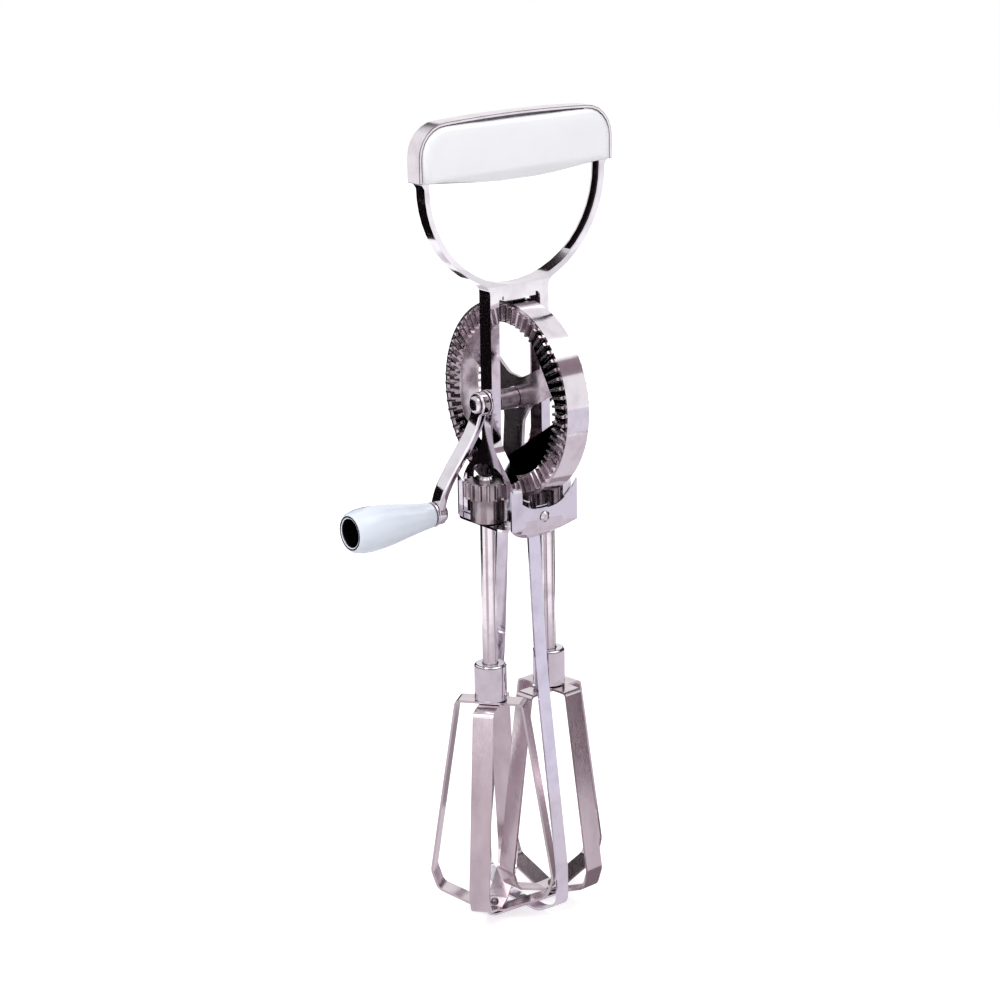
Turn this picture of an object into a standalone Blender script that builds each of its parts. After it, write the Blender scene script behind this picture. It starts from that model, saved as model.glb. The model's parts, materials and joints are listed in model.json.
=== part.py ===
"""Rotary egg beater with a D handle, a double-faced crown wheel and two meshing dashers.

Frame: metres, +Z up. The origin is the underside of the foot bar, midway between the dashers.
The wheel turns about an axle along Y, the crank is on the -Y side and the D handle lies in the
YZ plane, so the two dashers stand side by side along Y.
"""
import math

import bmesh
import bpy
from mathutils import Matrix, Vector

# Clearances and cutting allowances
GAP = 0.0003
RUNNING_CLEARANCE = 0.0001
OVERRUN = 0.0010
MERGE_DISTANCE = 0.000001

# Crown wheel
WHEEL_RADIUS = 0.0385
WHEEL_CENTRE_Z = 0.2120
RIM_HALF_WIDTH = 0.0052
RIM_BAND_THICKNESS = 0.0010
RING_LEDGE = 0.0008
RING_FACE_Y = 0.0046
RING_CONE_DEPTH = 0.0006
CROWN_TIP_Y = 0.0066
TOOTH_SETBACK = 0.0006
TOOTH_LENGTH = 0.0061
CROWN_TEETH = 64
CROWN_TIP_SHARE = 0.26
CROWN_ROOT_SHARE = 0.50
DISC_THICKNESS = 0.0014
SPOKES = 3
SPOKE_HALF_WIDTH = 0.0058
SPOKE_PHASE_DEG = 25.0
SPIDER_HUB_RADIUS = 0.0090
WINDOW_CORNER_RADIUS = 0.0025

# Axle and hub
AXLE_RADIUS = 0.0024
HUB_SLEEVE_RADIUS = 0.0040
AXLE_HEAD_RADIUS = 0.0034
AXLE_HEAD_THICKNESS = 0.0014
WASHER_RADIUS = 0.0050
WASHER_THICKNESS = 0.0008

# Frame: one pressed channel that makes both legs, the neck bridge and the arms of the D
SHEET = 0.0008
LEG_OUTER_Y = 0.0140
LEG_DEPTH = 0.0041
LEG_HALF_WIDTH = 0.0035
ARM_RADIUS = 0.0428
ARM_DEPTH = 0.0022
ARM_HALF_WIDTH = 0.0027
ARM_STRAIGHT_ANGLE_DEG = 62.0
NECK_FILLET_RADIUS = 0.0040
BRIDGE_DEPTH = 0.0040
BRIDGE_OVER_WHEEL = 0.0026
BRIDGE_FILLET_RADIUS = 0.0022
BRIDGE_WEB_ANGLE_DEG = 50.0
ARM_TAPER_HEIGHT = 0.0160
TONGUE_HALF_WIDTH = 0.0020
TONGUE_THICKNESS = 0.0021
TONGUE_HEIGHT = 0.0085
BELL_HALF_WIDTH = 0.0162
BELL_FLARE_HEIGHT = 0.0200
BELL_FLARE_BELOW_WHEEL = 0.0140
WINDOW_HALF_WIDTH = 0.0102
WINDOW_TOP_BELOW_WHEEL = 0.0246
WINDOW_ARCH_HEIGHT = 0.0050

# Handle: metal band and moulded grip
BAND_OVERHANG = 0.0028
BAND_HEIGHT = 0.0226
BAND_CROWN = 0.0009
BAND_CORNER_RADIUS = 0.0125
BAND_WEB = 0.0012
BAND_HALF_WIDTH = 0.0038
GRIP_HALF_THICKNESS = 0.0054

# Gear pan: base plate and two hull-shaped sides
PLATE_BELOW_RIM = 0.0085
PLATE_THICKNESS = 0.0010
PLATE_HALF_LENGTH = 0.0188
PLATE_CORNER_RADIUS = 0.0060
HULL_HALF_LENGTH = 0.0160
HULL_RIM_RISE = 0.0062
HULL_HORN_RISE = 0.0092
HULL_BELLY_DROP = 0.0058
HULL_BELLY_INSET = 0.0062
BELLY_HALF_LENGTH = 0.0100

# Bail: the guard strap that carries the foot bar
BAIL_HALF_WIDTH = 0.00275
BAIL_THICKNESS = 0.0010
BAIL_TOP_X = 0.0109
BAIL_MID_X = 0.0136
BAIL_MID_Z = 0.1050
BAIL_WIDE_X = 0.0253
BAIL_WIDE_Z = 0.0240
BAIL_FOOT_X = 0.0130
BAIL_LUG_HEIGHT = 0.0042
RIVET_RADIUS = 0.0011
RIVET_HEAD_RADIUS = 0.0023
RIVET_HEAD_HEIGHT = 0.0009

# Dashers
DASHER_SPACING = 0.0292
SHAFT_RADIUS = 0.0030
COLLAR_RADIUS = 0.0064
COLLAR_BOTTOM_Z = 0.0920
COLLAR_HEIGHT = 0.0148
BLADE_WIDTH = 0.0082
BLADE_THICKNESS = 0.0009
BLADE_SHOULDER_RADIUS = 0.0138
BLADE_MAX_RADIUS = 0.0253
BLADE_WIDE_Z = 0.0180
BLADE_HEEL_RADIUS = 0.0226
BLADE_HEEL_Z = 0.0100
BLADE_FLAT_RADIUS = 0.0048
STUD_RADIUS = 0.0016
STUD_HEAD_RADIUS = 0.0028
STUD_HEAD_THICKNESS = 0.0010
FRONT_BLADE_DEG = 39.3
REAR_BLADE_DEG = 5.7

# Foot bar and pivots
FOOT_BAR_THICKNESS = 0.0011
FOOT_BAR_HALF_WIDTH = 0.0028
FOOT_BAR_END = 0.0032
PIVOT_RADIUS = 0.0015
PIVOT_SHOULDER_RADIUS = 0.0027
PIVOT_TIP_RISE = 0.0014

# Pinions
PINION_TEETH = 16
PINION_TIP_CLEARANCE = 0.0003
PINION_ROOT_CLEARANCE = 0.00025
PINION_TIP_SHARE = 0.20
PINION_ROOT_SHARE = 0.44
PINION_HUB_RADIUS = 0.0067
SHAFT_TOP_RISE = 0.0018

# Crank and knob
CRANK_LENGTH = 0.0463
CRANK_REST_DEG = 16.7
CRANK_HALF_WIDTH = 0.0032
CRANK_SWELL = 0.0006
CRANK_THICKNESS = 0.0034
CRANK_JOG = 0.0119
CRANK_JOG_LENGTH = 0.0220
CRANK_BOW = 0.0030
CRANK_HUB_RADIUS = 0.0046
CRANK_EYE_RADIUS = 0.0044
KNOB_LENGTH = 0.0380
KNOB_MAX_RADIUS = 0.0088
KNOB_OUTER_RADIUS = 0.0072
KNOB_INNER_RADIUS = 0.0050
KNOB_BORE_RADIUS = 0.0054
KNOB_FLOOR = 0.0130
KNOB_PIN_RADIUS = 0.0019
KNOB_PIN_HEAD_RADIUS = 0.0036
KNOB_PIN_HEAD = 0.0014
KNOB_WASHER_RADIUS = 0.0050
KNOB_WASHER_THICKNESS = 0.0007

# Facet counts
ROUND_STEPS = 20
WHEEL_STEPS = 64
ARC_STEPS = 5

# Levels that follow from the sizes above
CROWN_OUTER_RADIUS = WHEEL_RADIUS - RIM_BAND_THICKNESS - TOOTH_SETBACK
CROWN_INNER_RADIUS = CROWN_OUTER_RADIUS - TOOTH_LENGTH
RING_INNER_RADIUS = CROWN_INNER_RADIUS - RING_LEDGE
PLATE_TOP_Z = WHEEL_CENTRE_Z - WHEEL_RADIUS - PLATE_BELOW_RIM
PLATE_BOTTOM_Z = PLATE_TOP_Z - PLATE_THICKNESS
LEG_FOOT_Z = PLATE_TOP_Z + GAP
DASHER_Y = DASHER_SPACING / 2
BRIDGE_BOTTOM_Z = WHEEL_CENTRE_Z + WHEEL_RADIUS + BRIDGE_OVER_WHEEL
BRIDGE_TOP_Z = BRIDGE_BOTTOM_Z + BRIDGE_DEPTH
ARM_CENTRE_Z = BRIDGE_TOP_Z + ARM_RADIUS - ARM_DEPTH
GRIP_BOTTOM_Z = ARM_CENTRE_Z + ARM_DEPTH
ARM_TOP_Z = GRIP_BOTTOM_Z - GAP
BAND_TOP_Z = GRIP_BOTTOM_Z + BAND_HEIGHT
BAND_HALF_LENGTH = ARM_RADIUS + BAND_OVERHANG
TONGUE_OUTER_Y = BAND_HALF_LENGTH - BAND_WEB - GAP
TONGUE_INNER_Y = TONGUE_OUTER_Y - TONGUE_THICKNESS
PINION_TIP_RADIUS = DASHER_Y - RIM_HALF_WIDTH - PINION_TIP_CLEARANCE
PINION_ROOT_RADIUS = DASHER_Y - CROWN_TIP_Y - PINION_ROOT_CLEARANCE
PINION_TOP_Z = WHEEL_CENTRE_Z - CROWN_INNER_RADIUS
PINION_TOOTH_BOTTOM_Z = WHEEL_CENTRE_Z - CROWN_OUTER_RADIUS - GAP
BLADE_TOP_Z = COLLAR_BOTTOM_Z - GAP
BLADE_NEST = BLADE_THICKNESS + GAP
PIVOT_SEAT_Z = FOOT_BAR_THICKNESS + GAP + BAIL_THICKNESS
BLADE_BOTTOM_Z = PIVOT_SEAT_Z + GAP
CRANK_SEAT_Y = LEG_OUTER_Y + GAP + WASHER_THICKNESS + GAP
CRANK_OUTER_Y = CRANK_SEAT_Y + CRANK_THICKNESS + CRANK_JOG
HULL_OUTER_X = BELL_HALF_WIDTH + GAP + SHEET
RIVET_Z = PLATE_TOP_Z + 2 * RIVET_RADIUS + 2 * GAP

STEEL = ("polished_steel", (0.78, 0.77, 0.79), 1.0, 0.12)
DARK_STEEL = ("machined_steel", (0.52, 0.50, 0.52), 1.0, 0.28)
WHITE_PLASTIC = ("white_grip_plastic", (0.90, 0.90, 0.93), 0.0, 0.18)
KNOB_PLASTIC = ("pale_blue_knob_plastic", (0.80, 0.85, 0.91), 0.0, 0.22)

# Matrices that lay a flat outline, drawn in local XY, into a world plane
OUTLINE_TO_YZ = Matrix(((0, 0, 1, 0), (1, 0, 0, 0), (0, 1, 0, 0), (0, 0, 0, 1)))
OUTLINE_TO_XZ = Matrix(((1, 0, 0, 0), (0, 0, -1, 0), (0, 1, 0, 0), (0, 0, 0, 1)))
TOWARDS_FRONT = Matrix.Rotation(math.radians(90), 4, "X")


def clear_scene():
    for obj in list(bpy.data.objects):
        bpy.data.objects.remove(obj, do_unlink=True)


def new_collection(name):
    collection = bpy.data.collections.new(name)
    bpy.context.scene.collection.children.link(collection)
    return collection


def material(spec):
    name, colour, metallic, roughness = spec
    found = bpy.data.materials.get(name)
    if found:
        return found
    made = bpy.data.materials.new(name)
    made.use_nodes = True
    shader = made.node_tree.nodes["Principled BSDF"]
    shader.inputs["Base Color"].default_value = (*colour, 1.0)
    shader.inputs["Metallic"].default_value = metallic
    shader.inputs["Roughness"].default_value = roughness
    return made


def add_part(name, mesh, spec, matrix=None):
    """Link a mesh as a named sub-part; the matrix is the object's own place."""
    obj = bpy.data.objects.new(name, mesh)
    mesh.name = name
    mesh.materials.clear()
    mesh.materials.append(material(spec))
    PARTS.objects.link(obj)
    if matrix is not None:
        obj.matrix_world = matrix
    return obj


def add_cutter(name, mesh, matrix=None):
    """Link a mesh that only shapes other parts."""
    obj = bpy.data.objects.new(name, mesh)
    mesh.name = name
    CUTTERS.objects.link(obj)
    obj.hide_render = True
    obj.display_type = "WIRE"
    if matrix is not None:
        obj.matrix_world = matrix
    return obj


def combine(obj, other, operation):
    modifier = obj.modifiers.new(operation.lower() + "_" + other.name, "BOOLEAN")
    modifier.object = other
    modifier.operation = operation
    modifier.solver = "EXACT"
    return obj


def shade_round(obj, angle_deg=35):
    obj.data.shade_smooth()
    obj.data.set_sharp_from_angle(angle=math.radians(angle_deg))


def arc(centre, radius, start_deg, end_deg, steps=ARC_STEPS):
    """Points along an arc, both ends included."""
    points = []
    for i in range(steps + 1):
        angle = math.radians(start_deg + (end_deg - start_deg) * i / steps)
        points.append((centre[0] + radius * math.cos(angle), centre[1] + radius * math.sin(angle)))
    return points


def rounded(corners, steps=ARC_STEPS, closed=False):
    """Turn corners (x, y, radius) into points, with each corner replaced by an arc."""
    count = len(corners)
    points = []
    for i, (x, y, radius) in enumerate(corners):
        here = Vector((x, y))
        if radius == 0 or (not closed and i in (0, count - 1)):
            points.append((x, y))
            continue
        before = Vector(corners[i - 1][:2])
        after = Vector(corners[(i + 1) % count][:2])
        to_before = (before - here).normalized()
        to_after = (after - here).normalized()
        half = to_before.angle(to_after) / 2
        reach = radius / math.tan(half)
        centre = here + (to_before + to_after).normalized() * (radius / math.sin(half))
        start = here + to_before * reach - centre
        end = here + to_after * reach - centre
        sweep = start.angle_signed(end)
        for k in range(steps + 1):
            turned = start.copy()
            turned.rotate(Matrix.Rotation(-sweep * k / steps, 2))
            points.append(tuple(centre + turned))
    return points


def offset(points, distance):
    """Move an open path sideways, to its left, keeping its turns square."""
    moved = []
    for i, point in enumerate(points):
        here = Vector(point)
        before = Vector(points[max(i - 1, 0)])
        after = Vector(points[min(i + 1, len(points) - 1)])
        first = (here - before).normalized() if i > 0 else (after - here).normalized()
        second = (after - here).normalized() if i < len(points) - 1 else first
        normal = Vector((-first.y - second.y, first.x + second.x)).normalized()
        stretch = 1 / max(normal.dot(Vector((-first.y, first.x))), 0.5)
        moved.append(tuple(here + normal * distance * stretch))
    return moved


def mirrored(points):
    """A path from right to centre, followed by its mirror image."""
    return points + [(-x, y) for x, y in reversed(points) if abs(x) > MERGE_DISTANCE]


def outline_mesh(outlines, half_thickness):
    """Fill flat outlines, the later ones as holes, and thicken them both ways."""
    curve = bpy.data.curves.new("outline", "CURVE")
    curve.dimensions = "2D"
    curve.fill_mode = "BOTH"
    curve.extrude = half_thickness
    for points in outlines:
        spline = curve.splines.new("POLY")
        spline.points.add(len(points) - 1)
        for slot, (x, y) in zip(spline.points, points):
            slot.co = (x, y, 0, 1)
        spline.use_cyclic_u = True
    drawing = bpy.data.objects.new("outline", curve)
    CUTTERS.objects.link(drawing)
    bpy.context.view_layer.update()
    evaluated = drawing.evaluated_get(bpy.context.evaluated_depsgraph_get())
    mesh = bpy.data.meshes.new_from_object(evaluated)
    bpy.data.objects.remove(drawing)
    bpy.data.curves.remove(curve)
    shape = bmesh.new()
    shape.from_mesh(mesh)
    bmesh.ops.remove_doubles(shape, verts=shape.verts, dist=MERGE_DISTANCE)
    bmesh.ops.recalc_face_normals(shape, faces=shape.faces)
    shape.to_mesh(mesh)
    shape.free()
    return mesh


def loft_mesh(rings):
    """Join equal rings of points into one closed body with flat ends."""
    shape = bmesh.new()
    rows = [[shape.verts.new(point) for point in ring] for ring in rings]
    count = len(rings[0])
    for first, second in zip(rows, rows[1:]):
        for i in range(count):
            j = (i + 1) % count
            shape.faces.new((first[i], first[j], second[j], second[i]))
    shape.faces.new(tuple(reversed(rows[0])))
    shape.faces.new(tuple(rows[-1]))
    bmesh.ops.recalc_face_normals(shape, faces=shape.faces)
    mesh = bpy.data.meshes.new("loft")
    shape.to_mesh(mesh)
    shape.free()
    return mesh


def cylinder_mesh(radius, start, end, steps=ROUND_STEPS):
    """A cylinder about local Z from one level to another."""
    shape = bmesh.new()
    middle = Matrix.Translation((0, 0, (start + end) / 2))
    bmesh.ops.create_cone(shape, cap_ends=True, segments=steps, radius1=radius,
                          radius2=radius, depth=abs(end - start), matrix=middle)
    mesh = bpy.data.meshes.new("cylinder")
    shape.to_mesh(mesh)
    shape.free()
    return mesh


def profile_mesh(profile, closed):
    mesh = bpy.data.meshes.new("profile")
    vertices = [(radius, 0, level) for radius, level in profile]
    edges = [(i, i + 1) for i in range(len(vertices) - 1)]
    if closed:
        edges.append((len(vertices) - 1, 0))
    mesh.from_pydata(vertices, edges, [])
    return mesh


def spin_modifier(obj, steps):
    screw = obj.modifiers.new("turned", "SCREW")
    screw.axis = "Z"
    screw.angle = math.radians(360)
    screw.steps = steps
    screw.render_steps = steps
    screw.use_merge_vertices = True
    screw.merge_threshold = MERGE_DISTANCE
    screw.use_smooth_shade = True


def turned(name, profile, spec, matrix, steps=ROUND_STEPS):
    """A turned part: the profile runs down its outer side, and back up a bore if it has one."""
    solid = profile[0][0] == 0
    obj = add_part(name, profile_mesh(profile, closed=not solid), spec, matrix)
    spin_modifier(obj, steps)
    return obj


def washer_profile(bore, radius, bottom, top):
    return [(bore, top), (radius, top), (radius, bottom), (bore, bottom)]


def at_axle(y=0.0):
    """Place for a part turned about the wheel axle; local +Z points to the crank side."""
    return Matrix.Translation((0, y, WHEEL_CENTRE_Z)) @ TOWARDS_FRONT


def smooth_step(share):
    share = min(max(share, 0.0), 1.0)
    return share * share * (3 - 2 * share)


def frame_half_width(level):
    """Half width of the pressed channel, seen from the front, at a height."""
    if level > ARM_TOP_Z:
        return TONGUE_HALF_WIDTH
    flare_top = WHEEL_CENTRE_Z - BELL_FLARE_BELOW_WHEEL
    flare = smooth_step((flare_top - level) / BELL_FLARE_HEIGHT)
    taper = smooth_step((level - BRIDGE_BOTTOM_Z) / ARM_TAPER_HEIGHT)
    width = LEG_HALF_WIDTH + (BELL_HALF_WIDTH - LEG_HALF_WIDTH) * flare
    return width - (LEG_HALF_WIDTH - ARM_HALF_WIDTH) * taper


def front_silhouette(wall):
    """Outline of the frame seen from the front, drawn in by a wall thickness."""
    flare_top = WHEEL_CENTRE_Z - BELL_FLARE_BELOW_WHEEL
    flare_bottom = flare_top - BELL_FLARE_HEIGHT
    taper_top = BRIDGE_BOTTOM_Z + ARM_TAPER_HEIGHT
    levels = [ARM_TOP_Z]
    levels += [BRIDGE_BOTTOM_Z + ARM_TAPER_HEIGHT * i / 4 for i in (4, 3, 2, 1, 0)]
    levels += [flare_top - BELL_FLARE_HEIGHT * i / 10 for i in range(11)]
    levels.append(LEG_FOOT_Z - OVERRUN)
    probe = BELL_FLARE_HEIGHT / 100
    side = []
    if wall == 0:
        side.append((TONGUE_HALF_WIDTH, ARM_TOP_Z + TONGUE_HEIGHT + OVERRUN))
        side.append((TONGUE_HALF_WIDTH, ARM_TOP_Z + MERGE_DISTANCE))
    else:
        side.append((ARM_HALF_WIDTH - wall, ARM_TOP_Z + OVERRUN))
    for level in levels:
        width = frame_half_width(level)
        slope = 0.0
        if flare_bottom <= level <= flare_top or BRIDGE_BOTTOM_Z <= level <= taper_top:
            slope = (frame_half_width(level - probe) - width) / probe
        side.append((width - wall * math.sqrt(1 + slope * slope), level))
    return side + [(-x, z) for x, z in reversed(side)]


def frame_outer_path():
    """Outer line of the frame seen from the side, from the arm's top down to the foot."""
    bend = math.radians(ARM_STRAIGHT_ANGLE_DEG)
    corner_drop = (ARM_RADIUS * math.cos(bend) - LEG_OUTER_Y) / math.tan(bend)
    corner_z = ARM_CENTRE_Z - ARM_RADIUS * math.sin(bend) - corner_drop
    path = [(ARM_RADIUS, ARM_TOP_Z)]
    path += arc((0, ARM_CENTRE_Z), ARM_RADIUS, 0, -ARM_STRAIGHT_ANGLE_DEG, 10)
    tail = rounded([(*path[-1], 0), (LEG_OUTER_Y, corner_z, NECK_FILLET_RADIUS),
                    (LEG_OUTER_Y, LEG_FOOT_Z, 0)])
    return path + tail[1:]


def frame_side_outline():
    """Side view of the solid that the frame is cut from."""
    inner_radius = ARM_RADIUS - ARM_DEPTH
    leg_inner = LEG_OUTER_Y - LEG_DEPTH
    tongue_top = ARM_TOP_Z + TONGUE_HEIGHT
    inside = rounded([(leg_inner, LEG_FOOT_Z, 0),
                      (leg_inner, BRIDGE_BOTTOM_Z, BRIDGE_FILLET_RADIUS),
                      (0, BRIDGE_BOTTOM_Z, 0)])
    underside = mirrored(inside[:-1])
    left = [(-y, z) for y, z in reversed(frame_outer_path())]
    left_tongue = [(-TONGUE_OUTER_Y, ARM_TOP_Z), (-TONGUE_OUTER_Y, tongue_top),
                   (-TONGUE_INNER_Y, tongue_top), (-TONGUE_INNER_Y, ARM_TOP_Z)]
    opening = [(-inner_radius, ARM_TOP_Z)]
    opening += arc((0, ARM_CENTRE_Z), inner_radius, 180, 360, 24)
    opening.append((inner_radius, ARM_TOP_Z))
    right_tongue = [(-y, z) for y, z in reversed(left_tongue)]
    right = frame_outer_path()
    return underside + left[:-1] + left_tongue + opening + right_tongue + right[1:]


def frame_cavity_outline():
    """Side view of the hollow that turns the solid into a channel open to the inside."""
    outer = offset(frame_outer_path(), -SHEET)
    outer[0] = (outer[0][0], ARM_TOP_Z + OVERRUN)
    outer[-1] = (outer[-1][0], LEG_FOOT_Z - OVERRUN)
    inner_radius = ARM_RADIUS - ARM_DEPTH
    open_y = LEG_OUTER_Y - LEG_DEPTH - OVERRUN
    arch = arc((0, ARM_CENTRE_Z), inner_radius + SHEET, -90, -BRIDGE_WEB_ANGLE_DEG, 8)
    arch += arc((0, ARM_CENTRE_Z), inner_radius - OVERRUN, -BRIDGE_WEB_ANGLE_DEG, 0, 8)
    arch.append((inner_radius - OVERRUN, ARM_TOP_Z + OVERRUN))
    foot = [(open_y, LEG_FOOT_Z - OVERRUN), (open_y, BRIDGE_BOTTOM_Z - OVERRUN)]
    half = arch[1:] + outer + foot
    return [arch[0]] + half + [(-y, z) for y, z in reversed(half)]


def make_frame():
    reach = BELL_HALF_WIDTH + OVERRUN
    depth = ARM_RADIUS + BAND_HALF_LENGTH
    frame = add_part("frame", outline_mesh([frame_side_outline()], reach), STEEL, OUTLINE_TO_YZ)
    silhouette = add_cutter("frame_silhouette", outline_mesh([front_silhouette(0.0)], depth),
                            OUTLINE_TO_XZ)
    cavity = add_cutter("frame_cavity", outline_mesh([frame_cavity_outline()], reach),
                        OUTLINE_TO_YZ)
    inside = add_cutter("frame_inside", outline_mesh([front_silhouette(SHEET)], depth),
                        OUTLINE_TO_XZ)
    combine(cavity, inside, "INTERSECT")
    combine(frame, silhouette, "INTERSECT")
    combine(frame, cavity, "DIFFERENCE")
    arch_foot = WHEEL_CENTRE_Z - WINDOW_TOP_BELOW_WHEEL - WINDOW_ARCH_HEIGHT
    arch = [(WINDOW_HALF_WIDTH * math.cos(a), arch_foot + WINDOW_ARCH_HEIGHT * math.sin(a))
            for a in (math.pi * i / 12 for i in range(13))]
    arch += [(-WINDOW_HALF_WIDTH, LEG_FOOT_Z - OVERRUN), (WINDOW_HALF_WIDTH, LEG_FOOT_Z - OVERRUN)]
    window = add_cutter("pinion_window", outline_mesh([arch], LEG_OUTER_Y + OVERRUN),
                        OUTLINE_TO_XZ)
    combine(frame, window, "DIFFERENCE")
    bore = add_cutter("axle_bore", cylinder_mesh(AXLE_RADIUS + RUNNING_CLEARANCE,
                                                 -LEG_OUTER_Y - OVERRUN, LEG_OUTER_Y + OVERRUN),
                      at_axle())
    combine(frame, bore, "DIFFERENCE")
    return frame


def dee_arch(side_inset, top_inset, bottom_z):
    """The D outline of the handle, drawn in from its sides and its top."""
    corner = BAND_CORNER_RADIUS - (side_inset + top_inset) / 2
    corner = max(corner, BAND_CORNER_RADIUS / 5)
    side = BAND_HALF_LENGTH - side_inset
    flat_end = side - corner
    corner_top = BAND_TOP_Z - BAND_CROWN - top_inset
    crown = [(flat_end * k / 4, BAND_TOP_Z - top_inset - BAND_CROWN * (k / 4) ** 2)
             for k in (0, 1, 2, 3)]
    right = crown + arc((flat_end, corner_top - corner), corner, 90, 0, 6) + [(side, bottom_z)]
    return [(-y, z) for y, z in reversed(right[1:])] + right


def make_grip_band():
    """Flat strap bent over the grip."""
    outer = dee_arch(0, 0, GRIP_BOTTOM_Z)
    inner = dee_arch(BAND_WEB, BAND_WEB, GRIP_BOTTOM_Z)
    outline = outer + list(reversed(inner))
    add_part("grip_band", outline_mesh([outline], BAND_HALF_WIDTH), STEEL, OUTLINE_TO_YZ)


def make_grip():
    """Moulded D grip: domed cheeks out to the band, and a groove between them for the tongues."""
    seat = BAND_WEB + GAP
    groove = BAND_HALF_LENGTH - TONGUE_INNER_Y + GAP
    groove_half = TONGUE_HALF_WIDTH + GAP
    dome = GRIP_HALF_THICKNESS - BAND_HALF_WIDTH
    edge = dome * 2
    stations = [
        (groove_half, groove, 0.0),
        (groove_half + GAP / 10, seat, 0.0),
        (BAND_HALF_WIDTH, seat, 0.0),
        (BAND_HALF_WIDTH + dome * 0.55, seat + edge * 0.16, edge * 0.10),
        (BAND_HALF_WIDTH + dome * 0.88, seat + edge * 0.50, edge * 0.34),
        (GRIP_HALF_THICKNESS, seat + edge * 1.15, edge * 0.85),
    ]
    rings = []
    for x, inset, lift in [(-s[0], *s[1:]) for s in reversed(stations)] + stations:
        ring = dee_arch(inset, inset, GRIP_BOTTOM_Z + lift)
        rings.append([(x, y, z) for y, z in ring])
    grip = add_part("grip", loft_mesh(rings), WHITE_PLASTIC)
    shade_round(grip)
    return grip


def spoke_window(start_deg, end_deg):
    """One opening between two spokes: two arcs joined by edges parallel to the spokes."""
    outer = RING_INNER_RADIUS - RING_CONE_DEPTH / 2
    inner = SPIDER_HUB_RADIUS
    lean_outer = math.degrees(math.asin(SPOKE_HALF_WIDTH / outer))
    lean_inner = math.degrees(math.asin(SPOKE_HALF_WIDTH / inner))
    rim = arc((0, 0), outer, start_deg + lean_outer, end_deg - lean_outer, 10)
    hub = arc((0, 0), inner, end_deg - lean_inner, start_deg + lean_inner, 3)
    mesh = outline_mesh([rim + hub], RIM_HALF_WIDTH)
    shape = bmesh.new()
    shape.from_mesh(mesh)
    corners = [Vector((*point, 0)) for point in (rim[0], rim[-1], hub[0], hub[-1])]
    upright = []
    for edge in shape.edges:
        first, second = edge.verts[0].co, edge.verts[1].co
        if abs(first.z - second.z) < RIM_HALF_WIDTH:
            continue
        flat = Vector((first.x, first.y, 0))
        if any((flat - corner).length < SHEET / 10 for corner in corners):
            upright.append(edge)
    bmesh.ops.bevel(shape, geom=upright, offset=WINDOW_CORNER_RADIUS, segments=3,
                    profile=0.5, affect="EDGES")
    shape.to_mesh(mesh)
    shape.free()
    return mesh


def crown_teeth_mesh():
    """Both rings of radial teeth, each tooth a wedge that tapers towards its tip."""
    shape = bmesh.new()
    pitch = 2 * math.pi / CROWN_TEETH
    root_y = RING_FACE_Y - GAP
    for side in (-1, 1):
        for i in range(CROWN_TEETH):
            mid = pitch * i
            corners = {}
            for radius in (CROWN_INNER_RADIUS, CROWN_OUTER_RADIUS):
                for level, share in ((root_y, CROWN_ROOT_SHARE), (CROWN_TIP_Y, CROWN_TIP_SHARE)):
                    for edge in (-1, 1):
                        angle = mid + edge * pitch * share / 2
                        spot = (radius * math.sin(angle), radius * math.cos(angle), side * level)
                        corners[(radius, level, edge)] = shape.verts.new(spot)
            r0, r1 = CROWN_INNER_RADIUS, CROWN_OUTER_RADIUS
            low, top = root_y, CROWN_TIP_Y
            for keys in (
                ((r0, low, -1), (r0, low, 1), (r1, low, 1), (r1, low, -1)),
                ((r0, top, -1), (r1, top, -1), (r1, top, 1), (r0, top, 1)),
                ((r0, low, -1), (r1, low, -1), (r1, top, -1), (r0, top, -1)),
                ((r0, low, 1), (r0, top, 1), (r1, top, 1), (r1, low, 1)),
                ((r0, low, -1), (r0, top, -1), (r0, top, 1), (r0, low, 1)),
                ((r1, low, -1), (r1, low, 1), (r1, top, 1), (r1, top, -1)),
            ):
                shape.faces.new([corners[key] for key in keys])
    bmesh.ops.recalc_face_normals(shape, faces=shape.faces)
    mesh = bpy.data.meshes.new("crown_teeth")
    shape.to_mesh(mesh)
    shape.free()
    return mesh


def make_wheel():
    """Double-faced crown wheel: banded rim, toothed ring on both faces and a spoked disc."""
    bore = HUB_SLEEVE_RADIUS + GAP
    band_inner = WHEEL_RADIUS - RIM_BAND_THICKNESS
    cone_inner = RING_INNER_RADIUS - RING_CONE_DEPTH
    disc = DISC_THICKNESS / 2
    half = [(bore, disc), (cone_inner, disc), (RING_INNER_RADIUS, RING_FACE_Y),
            (band_inner, RING_FACE_Y), (band_inner, RIM_HALF_WIDTH), (WHEEL_RADIUS, RIM_HALF_WIDTH)]
    profile = half + [(r, -z) for r, z in reversed(half)]
    wheel = turned("crown_wheel", profile, STEEL, at_axle(), WHEEL_STEPS)
    teeth = add_cutter("crown_teeth", crown_teeth_mesh(), at_axle())
    combine(wheel, teeth, "UNION")
    step = 360 / SPOKES
    for i in range(SPOKES):
        start = SPOKE_PHASE_DEG + step * i
        window = add_cutter("spoke_window_%d" % (i + 1), spoke_window(start, start + step),
                            at_axle())
        combine(wheel, window, "DIFFERENCE")
    return wheel


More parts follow.
